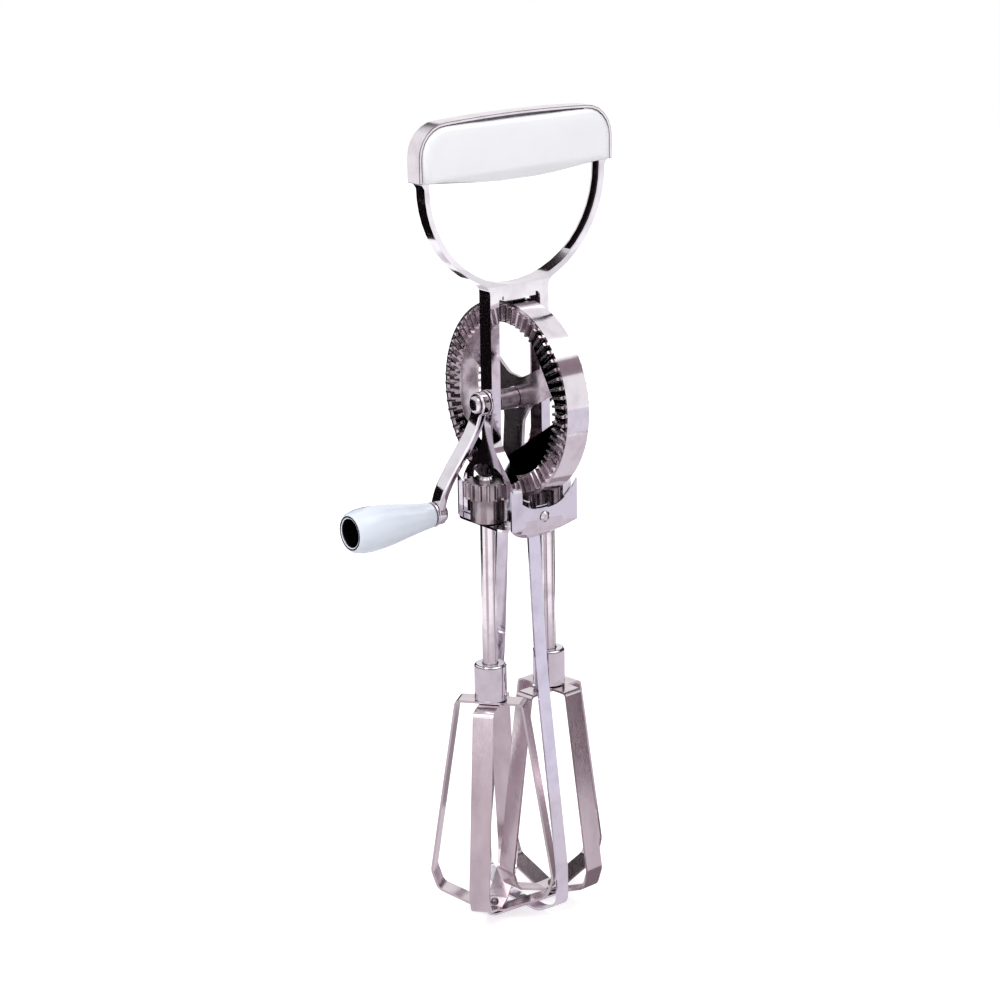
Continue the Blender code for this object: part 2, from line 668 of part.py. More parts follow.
def make_axle():
    """Axle, spacer sleeve, washers and the crank's riveted end, all about the wheel axis."""
    sleeve_half = LEG_OUTER_Y - LEG_DEPTH - GAP
    bore = AXLE_RADIUS + GAP
    turned("hub_sleeve", washer_profile(bore, HUB_SLEEVE_RADIUS, -sleeve_half, sleeve_half),
           DARK_STEEL, at_axle())
    washer_in = LEG_OUTER_Y + GAP
    washer_out = washer_in + WASHER_THICKNESS
    turned("front_axle_washer", washer_profile(bore, WASHER_RADIUS, washer_in, washer_out),
           STEEL, at_axle())
    turned("rear_axle_washer", washer_profile(bore, WASHER_RADIUS, -washer_out, -washer_in),
           STEEL, at_axle())
    front_face = CRANK_SEAT_Y + CRANK_THICKNESS + GAP
    rear_face = -washer_out - GAP
    head = AXLE_HEAD_RADIUS
    dome = head / 2
    profile = [(0, front_face + AXLE_HEAD_THICKNESS), (dome, front_face + AXLE_HEAD_THICKNESS),
               (head, front_face + AXLE_HEAD_THICKNESS / 2), (head, front_face),
               (AXLE_RADIUS, front_face), (AXLE_RADIUS, rear_face), (head, rear_face),
               (head, rear_face - AXLE_HEAD_THICKNESS / 2), (dome, rear_face - AXLE_HEAD_THICKNESS),
               (0, rear_face - AXLE_HEAD_THICKNESS)]
    turned("axle", profile, DARK_STEEL, at_axle())


def hull_side_mesh(side):
    """One hull-shaped side of the gear pan, as an open surface for Solidify."""
    columns = 16
    shape = bmesh.new()
    rows = []
    for i in range(columns + 1):
        along = -1 + 2 * i / columns
        y = HULL_HALF_LENGTH * along
        horn = abs(along) ** 2.6
        top = PLATE_TOP_Z + HULL_RIM_RISE + HULL_HORN_RISE * horn
        belly = max(0.0, 1 - along ** 2)
        low = PLATE_BOTTOM_Z - HULL_BELLY_DROP * belly
        turn = PLATE_TOP_Z
        tuck = max(0.0, 1 - (y / BELLY_HALF_LENGTH) ** 2)
        foot_x = HULL_OUTER_X - HULL_BELLY_INSET * belly
        mid_x = HULL_OUTER_X - HULL_BELLY_INSET * belly * 0.42
        spots = [(HULL_OUTER_X, top), (HULL_OUTER_X, (top + turn) / 2),
                 (HULL_OUTER_X - SHEET * tuck * 0.8, turn),
                 (mid_x, (turn + 2 * low) / 3), (foot_x, low)]
        rows.append([shape.verts.new((side * x, y, z)) for x, z in spots])
    for first, second in zip(rows, rows[1:]):
        for k in range(len(first) - 1):
            quad = (first[k], first[k + 1], second[k + 1], second[k])
            shape.faces.new(quad if side > 0 else tuple(reversed(quad)))
    mesh = bpy.data.meshes.new("hull_side")
    shape.to_mesh(mesh)
    shape.free()
    return mesh


def make_gear_pan():
    """Base plate that bears the shafts, with a hull-shaped side wall on each edge."""
    wide = HULL_OUTER_X - SHEET / 2
    waist = BAIL_TOP_X - BAIL_THICKNESS
    waist_y = BELLY_HALF_LENGTH
    radius = PLATE_CORNER_RADIUS
    quarter = rounded([(waist, 0, 0), (waist, waist_y / 2, SHEET), (wide, waist_y, SHEET),
                       (wide, PLATE_HALF_LENGTH, radius), (0, PLATE_HALF_LENGTH, 0)], 4)[1:-1]
    half = quarter + [(-x, y) for x, y in reversed(quarter)]
    plate = half + [(-x, -y) for x, y in half]
    hole = SHAFT_RADIUS + RUNNING_CLEARANCE
    holes = [arc((0, y), hole, 0, 360 - 360 / ROUND_STEPS, ROUND_STEPS - 1)
             for y in (-DASHER_Y, DASHER_Y)]
    middle = Matrix.Translation((0, 0, (PLATE_TOP_Z + PLATE_BOTTOM_Z) / 2))
    pan = add_part("gear_pan", outline_mesh([plate] + holes, PLATE_THICKNESS / 2), STEEL, middle)
    for side, label in ((-1, "left"), (1, "right")):
        wall = add_cutter("hull_%s" % label, hull_side_mesh(side))
        solid = wall.modifiers.new("sheet", "SOLIDIFY")
        solid.thickness = SHEET
        solid.offset = -1
        solid.use_even_offset = True
        combine(pan, wall, "UNION")
        hole = add_cutter("rivet_hole_%s" % label, cylinder_mesh(RIVET_RADIUS + GAP / 2, 0,
                                                                 HULL_OUTER_X + OVERRUN),
                          rivet_place(side))
        combine(pan, hole, "DIFFERENCE")
    return pan


def rivet_place(side):
    """Place of a pan rivet: local +Z points out of the hull's side."""
    return (Matrix.Translation((0, 0, RIVET_Z))
            @ Matrix.Rotation(math.radians(90 * side), 4, "Y"))


def hull_inner_x(level):
    """Inner face of the hull's side at its middle, above the plate."""
    return HULL_OUTER_X - SHEET * 1.9


def bail_path():
    """Middle line of the right half of the bail, from its riveted lug to the foot."""
    lug_x = hull_inner_x(RIVET_Z) - GAP - BAIL_THICKNESS / 2
    neck_z = PLATE_BOTTOM_Z - HULL_BELLY_DROP * 0.9
    foot_z = FOOT_BAR_THICKNESS + GAP + BAIL_THICKNESS / 2
    corners = [
        (lug_x, RIVET_Z + BAIL_LUG_HEIGHT, 0),
        (lug_x, PLATE_TOP_Z + PLATE_THICKNESS, SHEET),
        (BAIL_TOP_X - BAIL_THICKNESS, neck_z, BAIL_HALF_WIDTH),
        (BAIL_MID_X, BAIL_MID_Z, BAIL_MID_Z * 3),
        (BAIL_WIDE_X, BAIL_WIDE_Z, BAIL_MID_X),
        (BAIL_WIDE_X, foot_z + BAIL_WIDE_Z * 0.30, BAIL_WIDE_Z * 0.22),
        (BAIL_FOOT_X, foot_z, BAIL_FOOT_X),
        (0, foot_z, 0),
    ]
    return rounded(corners, 4)


def strap_outline(path, thickness):
    """Outline of a strap of even thickness that follows a middle line."""
    return offset(path, thickness / 2) + list(reversed(offset(path, -thickness / 2)))


def make_bail():
    path = mirrored(bail_path())
    outline = strap_outline(path, BAIL_THICKNESS)
    bail = add_part("bail", outline_mesh([outline], BAIL_HALF_WIDTH), STEEL, OUTLINE_TO_XZ)
    for side, label in ((-1, "left"), (1, "right")):
        hole = add_cutter("bail_hole_%s" % label,
                          cylinder_mesh(RIVET_RADIUS + GAP / 2, 0, HULL_OUTER_X + OVERRUN),
                          rivet_place(side))
        combine(bail, hole, "DIFFERENCE")
    bolt = add_cutter("bail_foot_hole", cylinder_mesh(RIVET_RADIUS + GAP / 2, -OVERRUN,
                                                      PIVOT_SEAT_Z + OVERRUN))
    combine(bail, bolt, "DIFFERENCE")
    return bail


def make_pan_rivets():
    inner = hull_inner_x(RIVET_Z) - GAP - BAIL_THICKNESS - GAP
    outer = HULL_OUTER_X + GAP
    head = RIVET_HEAD_RADIUS
    for side, label in ((-1, "left"), (1, "right")):
        profile = [(0, outer + RIVET_HEAD_HEIGHT), (head * 0.6, outer + RIVET_HEAD_HEIGHT * 0.8),
                   (head, outer), (RIVET_RADIUS, outer), (RIVET_RADIUS, inner),
                   (head * 0.8, inner), (head * 0.6, inner - RIVET_HEAD_HEIGHT * 0.8),
                   (0, inner - RIVET_HEAD_HEIGHT * 0.8)]
        turned("pan_rivet_%s" % label, profile, STEEL, rivet_place(side), 16)


def make_foot():
    """Foot bar along Y, its centre rivet to the bail, and the two pivot pins."""
    end = DASHER_Y + FOOT_BAR_END
    half = FOOT_BAR_HALF_WIDTH
    outline = rounded([(half, -end, half * 0.95), (half, end, half * 0.95),
                       (-half, end, half * 0.95), (-half, -end, half * 0.95)], closed=True)
    pin_hole = PIVOT_RADIUS + GAP / 2
    holes = [arc((0, y), pin_hole, 0, 360 - 360 / 16, 15) for y in (-DASHER_Y, DASHER_Y)]
    place = Matrix.Translation((0, 0, FOOT_BAR_THICKNESS / 2))
    add_part("foot_bar", outline_mesh([outline] + holes, FOOT_BAR_THICKNESS / 2), STEEL, place)
    top = PIVOT_SEAT_Z + GAP
    head = RIVET_HEAD_RADIUS * 0.8
    shoulder = FOOT_BAR_THICKNESS + GAP
    turned("foot_rivet", [(0, top + RIVET_HEAD_HEIGHT), (head * 0.6, top + RIVET_HEAD_HEIGHT * 0.8),
                          (head, top), (RIVET_RADIUS, top), (RIVET_RADIUS, shoulder),
                          (0, shoulder)],
           STEEL, Matrix.Identity(4), 16)
    tip = BLADE_BOTTOM_Z + 2 * BLADE_THICKNESS + GAP + PIVOT_TIP_RISE
    profile = [(0, tip), (PIVOT_RADIUS * 0.6, tip), (PIVOT_RADIUS, tip - PIVOT_RADIUS * 0.5),
               (PIVOT_RADIUS, PIVOT_SEAT_Z), (PIVOT_SHOULDER_RADIUS, PIVOT_SEAT_Z),
               (PIVOT_SHOULDER_RADIUS, shoulder), (PIVOT_RADIUS, shoulder), (PIVOT_RADIUS, 0),
               (0, 0)]
    for y, label in ((-DASHER_Y, "front"), (DASHER_Y, "rear")):
        turned("%s_pivot_pin" % label, profile, DARK_STEEL, Matrix.Translation((0, y, 0)), 16)


def blade_path(nest):
    """Right half of a blade loop's outer line, from the foot centre up to the collar."""
    bottom = BLADE_BOTTOM_Z + nest
    top = BLADE_TOP_Z - nest
    corners = [
        (0, bottom, 0),
        (BLADE_FLAT_RADIUS, bottom, BLADE_FLAT_RADIUS),
        (BLADE_HEEL_RADIUS, BLADE_HEEL_Z, BLADE_THICKNESS * 5),
        (BLADE_MAX_RADIUS, BLADE_WIDE_Z, BLADE_THICKNESS * 6),
        (BLADE_SHOULDER_RADIUS, top, BLADE_THICKNESS * 2.5),
        (0, top, 0),
    ]
    return rounded(corners, 4)


def blade_loop(name, nest, angle_deg, axis_y):
    half = blade_path(nest)
    inner_half = offset(half, BLADE_THICKNESS)[1:-1]
    half = half[1:-1]
    outer = half + [(-x, z) for x, z in reversed(half)]
    inner = inner_half + [(-x, z) for x, z in reversed(inner_half)]
    place = Matrix.Translation((0, axis_y, 0)) @ Matrix.Rotation(math.radians(angle_deg), 4, "Z")
    loop = add_part(name, outline_mesh([outer, inner], BLADE_WIDTH / 2), STEEL,
                    place @ OUTLINE_TO_XZ)
    top_hole = add_cutter(name + "_stud_hole",
                          cylinder_mesh(STUD_RADIUS + GAP / 2, BLADE_TOP_Z - 3 * BLADE_NEST,
                                        BLADE_TOP_Z + OVERRUN, 16), place)
    combine(loop, top_hole, "DIFFERENCE")
    foot_hole = add_cutter(name + "_pivot_hole",
                           cylinder_mesh(PIVOT_RADIUS + RUNNING_CLEARANCE, BLADE_BOTTOM_Z - OVERRUN,
                                         BLADE_BOTTOM_Z + 3 * BLADE_NEST, 16), place)
    combine(loop, foot_hole, "DIFFERENCE")
    return loop


def pinion_outline(gap_deg):
    """Toothed outline with a gap, not a tooth, at the given angle."""
    points = []
    pitch = 360 / PINION_TEETH
    for i in range(PINION_TEETH):
        mid = gap_deg + pitch * (i + 0.5)
        for radius, share, edge in ((PINION_ROOT_RADIUS, PINION_ROOT_SHARE, -1),
                                    (PINION_TIP_RADIUS, PINION_TIP_SHARE, -1),
                                    (PINION_TIP_RADIUS, PINION_TIP_SHARE, 1),
                                    (PINION_ROOT_RADIUS, PINION_ROOT_SHARE, 1)):
            angle = math.radians(mid + edge * pitch * share / 2)
            points.append((radius * math.cos(angle), radius * math.sin(angle)))
    return points


def make_dasher(label, axis_y, angle_deg, gap_deg):
    """One dasher: pinion, shaft, collar and two crossed blade loops."""
    place = Matrix.Translation((0, axis_y, 0))
    half = (PINION_TOP_Z - PINION_TOOTH_BOTTOM_Z) / 2
    middle = (PINION_TOP_Z + PINION_TOOTH_BOTTOM_Z) / 2
    pinion = add_part("%s_pinion" % label, outline_mesh([pinion_outline(gap_deg)], half),
                      DARK_STEEL, place @ Matrix.Translation((0, 0, middle)))
    hub = add_cutter("%s_pinion_hub" % label,
                     cylinder_mesh(PINION_HUB_RADIUS, PLATE_TOP_Z + GAP,
                                   PINION_TOOTH_BOTTOM_Z + SHEET), place)
    combine(pinion, hub, "UNION")
    bore = add_cutter("%s_pinion_bore" % label,
                      cylinder_mesh(SHAFT_RADIUS + GAP / 2, PLATE_TOP_Z - OVERRUN,
                                    PINION_TOP_Z + OVERRUN), place)
    combine(pinion, bore, "DIFFERENCE")
    top = PINION_TOP_Z + SHAFT_TOP_RISE
    stud_end = BLADE_TOP_Z - BLADE_THICKNESS - BLADE_NEST - GAP
    shaft = [(0, top), (SHAFT_RADIUS * 0.7, top), (SHAFT_RADIUS, top - SHAFT_RADIUS * 0.3),
             (SHAFT_RADIUS, COLLAR_BOTTOM_Z), (STUD_RADIUS, COLLAR_BOTTOM_Z),
             (STUD_RADIUS, stud_end), (STUD_HEAD_RADIUS, stud_end),
             (STUD_HEAD_RADIUS, stud_end - STUD_HEAD_THICKNESS / 2),
             (STUD_HEAD_RADIUS * 0.6, stud_end - STUD_HEAD_THICKNESS),
             (0, stud_end - STUD_HEAD_THICKNESS)]
    turned("%s_shaft" % label, shaft, STEEL, place)
    bevel = COLLAR_RADIUS / 10
    collar_top = COLLAR_BOTTOM_Z + COLLAR_HEIGHT
    bore_radius = SHAFT_RADIUS + GAP / 2
    collar = [(bore_radius, collar_top), (COLLAR_RADIUS - bevel, collar_top),
              (COLLAR_RADIUS, collar_top - bevel), (COLLAR_RADIUS, COLLAR_BOTTOM_Z),
              (bore_radius, COLLAR_BOTTOM_Z)]
    turned("%s_collar" % label, collar, STEEL, place)
    blade_loop("%s_outer_blades" % label, 0.0, angle_deg, axis_y)
    blade_loop("%s_inner_blades" % label, BLADE_NEST, angle_deg + 90, axis_y)


def crank_place():
    """Local frame of the crank: +X along the arm, +Z towards the cook's hand."""
    turn = Matrix.Rotation(math.radians(-90 - CRANK_REST_DEG), 4, "Z")
    return at_axle() @ turn


def crank_section(share):
    """Centre and size of the crank arm at a share of its length."""
    along = CRANK_LENGTH * share
    rise = CRANK_JOG * smooth_step((along - AXLE_HEAD_RADIUS) / CRANK_JOG_LENGTH)
    bow = -CRANK_BOW * math.sin(math.pi * share)
    half_width = CRANK_HALF_WIDTH + CRANK_SWELL * math.sin(math.pi * share)
    return Vector((along, bow, CRANK_SEAT_Y + CRANK_THICKNESS / 2 + rise)), half_width


def make_crank():
    rings = []
    stations = 16
    for i in range(stations + 1):
        share = i / stations
        centre, half_width = crank_section(share)
        ahead = crank_section(min(share + 0.01, 1.0))[0] - crank_section(max(share - 0.01, 0.0))[0]
        ahead.normalize()
        across = Vector((-ahead.y, ahead.x, 0)).normalized()
        over = ahead.cross(across)
        ring = []
        for k in range(12):
            angle = math.radians(30 * k + 15)
            wide = half_width * math.copysign(abs(math.cos(angle)) ** 0.6, math.cos(angle))
            thick = CRANK_THICKNESS / 2 * math.copysign(abs(math.sin(angle)) ** 0.6, math.sin(angle))
            ring.append(centre + across * wide + over * thick)
        rings.append(ring)
    arm = add_part("crank_arm", loft_mesh(rings), STEEL, crank_place())
    seat = CRANK_SEAT_Y
    hub = add_cutter("crank_hub", cylinder_mesh(CRANK_HUB_RADIUS, seat, seat + CRANK_THICKNESS),
                     crank_place())
    combine(arm, hub, "UNION")
    eye_place = crank_place() @ Matrix.Translation((CRANK_LENGTH, 0, 0))
    eye = add_cutter("crank_eye", cylinder_mesh(CRANK_EYE_RADIUS, CRANK_OUTER_Y - CRANK_THICKNESS,
                                                CRANK_OUTER_Y), eye_place)
    combine(arm, eye, "UNION")
    axle_hole = add_cutter("crank_axle_hole", cylinder_mesh(AXLE_RADIUS + GAP, seat - OVERRUN,
                                                            seat + CRANK_THICKNESS + OVERRUN),
                           crank_place())
    combine(arm, axle_hole, "DIFFERENCE")
    pin_hole = add_cutter("crank_pin_hole",
                          cylinder_mesh(KNOB_PIN_RADIUS + GAP / 2,
                                        CRANK_OUTER_Y - CRANK_THICKNESS - OVERRUN,
                                        CRANK_OUTER_Y + OVERRUN, 16), eye_place)
    combine(arm, pin_hole, "DIFFERENCE")
    shade_round(arm)
    return eye_place


def make_knob(eye_place):
    """Hollow barrel knob that turns on a headed pin riveted through the crank's eye."""
    washer_in = CRANK_OUTER_Y + GAP
    washer_out = washer_in + KNOB_WASHER_THICKNESS
    pin_bore = KNOB_PIN_RADIUS + RUNNING_CLEARANCE
    turned("knob_washer", washer_profile(pin_bore, KNOB_WASHER_RADIUS, washer_in, washer_out),
           STEEL, eye_place, 16)
    start = washer_out + GAP
    length = KNOB_LENGTH
    spread = KNOB_MAX_RADIUS - KNOB_INNER_RADIUS
    lip = KNOB_MAX_RADIUS - KNOB_OUTER_RADIUS
    end = start + length
    outer = [(KNOB_BORE_RADIUS, end - lip * 0.4), (KNOB_BORE_RADIUS + lip * 0.3, end)]
    outer += [(KNOB_OUTER_RADIUS - lip * 0.1, end), (KNOB_OUTER_RADIUS + lip * 0.35, end - lip * 0.6),
              (KNOB_MAX_RADIUS - lip * 0.15, end - length * 0.10),
              (KNOB_MAX_RADIUS, end - length * 0.22),
              (KNOB_MAX_RADIUS - spread * 0.08, end - length * 0.36)]
    outer += [(KNOB_INNER_RADIUS + spread * share, start + length * share_along)
              for share_along, share in ((0.48, 0.72), (0.30, 0.40), (0.14, 0.14))]
    outer += [(KNOB_INNER_RADIUS, start + lip * 0.5), (KNOB_INNER_RADIUS - lip * 0.4, start)]
    inner = [(pin_bore, start), (pin_bore, start + KNOB_FLOOR),
             (KNOB_BORE_RADIUS - lip * 0.3, start + KNOB_FLOOR)]
    knob = turned("knob", outer + inner, KNOB_PLASTIC, eye_place)
    head_in = CRANK_OUTER_Y - CRANK_THICKNESS - GAP
    head_out = start + KNOB_FLOOR + GAP
    head = KNOB_PIN_HEAD_RADIUS
    profile = [(0, head_out + KNOB_PIN_HEAD), (head * 0.6, head_out + KNOB_PIN_HEAD),
               (head, head_out + KNOB_PIN_HEAD / 2), (head, head_out), (KNOB_PIN_RADIUS, head_out),
               (KNOB_PIN_RADIUS, head_in), (head, head_in), (head, head_in - KNOB_PIN_HEAD / 2),
               (head * 0.6, head_in - KNOB_PIN_HEAD), (0, head_in - KNOB_PIN_HEAD)]
    turned("knob_pin", profile, DARK_STEEL, eye_place, 16)
    return knob


clear_scene()
PARTS = new_collection("rotary_egg_beater")
CUTTERS = new_collection("cutters")

make_frame()
make_grip_band()
make_grip()
make_wheel()
make_axle()
make_gear_pan()
make_bail()
make_pan_rivets()
make_foot()
make_dasher("front", -DASHER_Y, FRONT_BLADE_DEG, 90.0)
make_dasher("rear", DASHER_Y, REAR_BLADE_DEG, -90.0)
make_knob(make_crank())
bpy.context.view_layer.update()
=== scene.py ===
import json
import math
import bpy
from mathutils import Matrix, Vector


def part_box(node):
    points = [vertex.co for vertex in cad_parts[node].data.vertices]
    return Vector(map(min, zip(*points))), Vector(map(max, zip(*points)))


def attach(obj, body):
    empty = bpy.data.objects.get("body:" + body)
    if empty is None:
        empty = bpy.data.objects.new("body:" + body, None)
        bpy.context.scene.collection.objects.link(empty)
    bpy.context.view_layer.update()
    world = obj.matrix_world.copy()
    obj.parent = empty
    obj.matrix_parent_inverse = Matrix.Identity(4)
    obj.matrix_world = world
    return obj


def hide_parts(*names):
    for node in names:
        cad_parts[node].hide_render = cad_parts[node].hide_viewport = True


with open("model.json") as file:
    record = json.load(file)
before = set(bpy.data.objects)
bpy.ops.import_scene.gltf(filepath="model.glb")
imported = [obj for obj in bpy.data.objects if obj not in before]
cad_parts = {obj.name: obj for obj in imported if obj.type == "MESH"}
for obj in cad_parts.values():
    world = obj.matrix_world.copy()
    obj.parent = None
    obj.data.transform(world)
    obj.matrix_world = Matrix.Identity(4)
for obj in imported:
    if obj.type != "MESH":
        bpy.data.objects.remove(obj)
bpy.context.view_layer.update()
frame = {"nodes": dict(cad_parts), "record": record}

BODY_OF = {node: body for body, nodes in frame["record"]["behaviour"]["bodies"].items()
           for node in nodes}
MM = 0.001

# Sizes of the forms that this script adds or finds, in metres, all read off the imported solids
BRIDGE_UNDERSIDE = 0.2531
BRIDGE_HALF_LENGTH = 0.0075
BRIDGE_LIP = 0.0015
GRIP_BELLY = 0.0026
ARM_CENTRE = 0.2977
ARM_WEB_RADIUS = 0.0413
LEG_WEB_Y = 0.0108
CRANK_ANGLE = math.radians(16.7)
CRANK_LENGTH = 0.0463
CRANK_SEAT = 0.0154
CRANK_THICK = 0.0034
CRANK_STEP_OUT = 0.0119
CRANK_STEP_START = 0.0034
CRANK_STEP_LENGTH = 0.0380
CRANK_WIDTH = 0.0062
CRANK_HUB_RADIUS = 0.0046
CRANK_EYE_RADIUS = 0.0044
KNOB_AXIS = (-0.013305, 0.167653)
KNOB_BORE_RADIUS = 0.0056
KNOB_BORE_FLOOR_Y = -0.0460
WHEEL_HEIGHT = 0.2120
WHEEL_RIM_INNER = 0.0376

# Width that each kind of edge is eased by, in millimetres
FRAME_EDGE = 0.36
PRESSED_EDGE = 0.25
STRAP_EDGE = 0.30
WHEEL_EDGE = 0.18
BLADE_EDGE = 0.18
COLLAR_EDGE = 0.20
TURNED_EDGE = 0.15
FINE_EDGE = 0.12
KNOB_EDGE = 0.25
CRANK_EDGE = 0.95
BOSS_EDGE = 0.5

# Camera, at the photograph's viewing angle
CAMERA_AZIMUTH = math.radians(52.87)
CAMERA_ELEVATION = math.radians(16.09)
CAMERA_ROLL = math.radians(-1.0)
CAMERA_DISTANCE = 1.069
CAMERA_SIDE_STEP = -0.00673
AIM_HEIGHT = 0.1707
CAMERA_LENS_MM = 98.75


def facing(azimuth, elevation):
    """Direction from the tool towards a place in the studio, angles in radians."""
    return Vector((math.sin(azimuth) * math.cos(elevation),
                   -math.cos(azimuth) * math.cos(elevation), math.sin(elevation)))


def set_camera():
    """Stand the camera where the photographer stood, with the photograph's slight roll."""
    back = facing(CAMERA_AZIMUTH, CAMERA_ELEVATION)
    side = Vector((math.cos(CAMERA_AZIMUTH), math.sin(CAMERA_AZIMUTH), 0))
    over = side.cross(-back)
    right = math.cos(CAMERA_ROLL) * side + math.sin(CAMERA_ROLL) * over
    top = -math.sin(CAMERA_ROLL) * side + math.cos(CAMERA_ROLL) * over
    place = Vector((0, 0, AIM_HEIGHT)) + side * CAMERA_SIDE_STEP + back * CAMERA_DISTANCE
    lens = bpy.data.cameras.new("photo_camera")
    lens.sensor_width = 36
    lens.lens = CAMERA_LENS_MM
    camera = bpy.data.objects.new("photo_camera", lens)
    bpy.context.scene.collection.objects.link(camera)
    camera.matrix_world = Matrix(((right.x, top.x, back.x, place.x),
                                  (right.y, top.y, back.y, place.y),
                                  (right.z, top.z, back.z, place.z), (0, 0, 0, 1)))
    bpy.context.scene.camera = camera


# Materials
def shade(code):
    """An sRGB hex value as linear colour."""
    parts = [int(code[i:i + 2], 16) / 255 for i in (1, 3, 5)]
    flat = [c / 12.92 if c <= 0.04045 else ((c + 0.055) / 1.055) ** 2.4 for c in parts]
    return (*flat, 1.0)


def add_node(tree, kind, settings=None, links=None):
    """Add a shader node, set its values and link its inputs."""
    node = tree.nodes.new(kind)
    for key, value in (settings or {}).items():
        if isinstance(key, int) or key in node.inputs:
            node.inputs[key].default_value = value
        else:
            setattr(node, key, value)
    for key, source in (links or {}).items():
        tree.links.new(source, node.inputs[key])
    return node


def blank_material(name):
    """A material with a bare surface shader, and the place on the piece that patterns read."""
    material = bpy.data.materials.new(name)
    material.use_nodes = True
    tree = material.node_tree
    tree.nodes.clear()
    surface = add_node(tree, "ShaderNodeBsdfPrincipled")
    add_node(tree, "ShaderNodeOutputMaterial", None, {"Surface": surface.outputs[0]})
    place = add_node(tree, "ShaderNodeTexCoord").outputs["Object"]
    return material, tree, surface, place


def noise_at(tree, place, size_mm, detail=2.0, stretch=(1, 1, 1)):
    """Noise whose lumps are about size_mm across, drawn out along an axis by stretch."""
    mapped = add_node(tree, "ShaderNodeMapping",
                      {"Scale": [1000 / size_mm / s for s in stretch]}, {"Vector": place})
    return add_node(tree, "ShaderNodeTexNoise", {"Scale": 1.0, "Detail": detail},
                    {"Vector": mapped.outputs[0]}).outputs["Fac"]


def ramp(tree, source, low, high, first, last):
    """Map low..high of a pattern to first..last."""
    return add_node(tree, "ShaderNodeMapRange",
                    {"From Min": low, "From Max": high, "To Min": first, "To Max": last},
                    {"Value": source}).outputs[0]


def mix_colour(tree, fac, first, last):
    """Blend two colours by a pattern."""
    return add_node(tree, "ShaderNodeMix", {"data_type": "RGBA", 6: first, 7: last},
                    {"Factor": fac}).outputs[2]


def nickel_plate(name, tint, second_finish, rough, ripple_mm, ripple, haze):
    """Nickel-chromium plate on pressed steel, buffed to a mirror: it reflects the studio sharply,
    with the slow ripple of the press and the fine haze of years of washing up."""
    material, tree, surface, place = blank_material(name)
    slow = noise_at(tree, place, ripple_mm, 1.0)
    wear = noise_at(tree, place, 7.0, 6.0)
    fine = noise_at(tree, place, 0.35, 3.0, (1, 1, 5))
    colour = mix_colour(tree, ramp(tree, wear, 0.45, 0.75, 0.0, 1.0), shade(tint), shade(second_finish))
    tree.links.new(colour, surface.inputs["Base Color"])
    tree.links.new(ramp(tree, wear, 0.3, 0.75, rough, rough + haze), surface.inputs["Roughness"])
    low = add_node(tree, "ShaderNodeBump", {"Strength": ripple, "Distance": 0.25 * MM},
                   {"Height": slow})
    bump = add_node(tree, "ShaderNodeBump", {"Strength": 0.05, "Distance": 0.02 * MM},
                    {"Height": fine, "Normal": low.outputs[0]})
    tree.links.new(bump.outputs[0], surface.inputs["Normal"])
    surface.inputs["Metallic"].default_value = 1.0
    return material


def rolled_strip(name, tint, second_finish):
    """Rolled stainless strip, folded into loops: the rolling leaves hair-fine lines along it,
    which draw every highlight out lengthways."""
    material, tree, surface, place = blank_material(name)
    lines = noise_at(tree, place, 0.30, 2.0, (1, 1, 60))
    blot = noise_at(tree, place, 9.0, 4.0, (1, 1, 2))
    colour = mix_colour(tree, ramp(tree, blot, 0.4, 0.75, 0.0, 1.0), shade(tint), shade(second_finish))
    tree.links.new(colour, surface.inputs["Base Color"])
    tree.links.new(ramp(tree, lines, 0.3, 0.7, 0.10, 0.24), surface.inputs["Roughness"])
    wave = add_node(tree, "ShaderNodeBump", {"Strength": 0.20, "Distance": 0.25 * MM},
                    {"Height": blot})
    bump = add_node(tree, "ShaderNodeBump", {"Strength": 0.12, "Distance": 0.02 * MM},
                    {"Height": lines, "Normal": wave.outputs[0]})
    tree.links.new(bump.outputs[0], surface.inputs["Normal"])
    surface.inputs["Metallic"].default_value = 1.0
    return material


def turned_steel(name, tint):
    """Plain steel turned on a lathe and left bare: satin, with a grey tone and small dark spots."""
    material, tree, surface, place = blank_material(name)
    grain = noise_at(tree, place, 0.5, 4.0)
    spots = noise_at(tree, place, 2.5, 5.0)
    colour = mix_colour(tree, ramp(tree, spots, 0.5, 0.7, 0.0, 1.0), shade(tint), shade("#5C555C"))
    tree.links.new(colour, surface.inputs["Base Color"])
    tree.links.new(ramp(tree, grain, 0.3, 0.7, 0.22, 0.40), surface.inputs["Roughness"])
    bump = add_node(tree, "ShaderNodeBump", {"Strength": 0.15, "Distance": 0.03 * MM},
                    {"Height": grain})
    tree.links.new(bump.outputs[0], surface.inputs["Normal"])
    surface.inputs["Metallic"].default_value = 1.0
    return material


def moulded_plastic(name, tint, aged, rough, ior):
    """Injection moulded plastic: an even body colour with a faint cloudiness, a gloss a little duller
    in patches, and the soft orange peel of the mould."""
    material, tree, surface, place = blank_material(name)
    cloud = noise_at(tree, place, 14.0, 3.0)
    peel = noise_at(tree, place, 0.8, 2.0)
    colour = mix_colour(tree, ramp(tree, cloud, 0.35, 0.75, 0.0, 1.0), shade(tint), shade(aged))
    tree.links.new(colour, surface.inputs["Base Color"])
    tree.links.new(ramp(tree, cloud, 0.3, 0.7, rough, rough + 0.05), surface.inputs["Roughness"])
    bump = add_node(tree, "ShaderNodeBump", {"Strength": 0.06, "Distance": 0.05 * MM},
                    {"Height": peel})
    tree.links.new(bump.outputs[0], surface.inputs["Normal"])
    surface.inputs["IOR"].default_value = ior
    surface.inputs["Subsurface Weight"].default_value = 0.08
    surface.inputs["Subsurface Radius"].default_value = (1.0, 1.0, 1.0)
    surface.inputs["Subsurface Scale"].default_value = 1.0 * MM
    return material


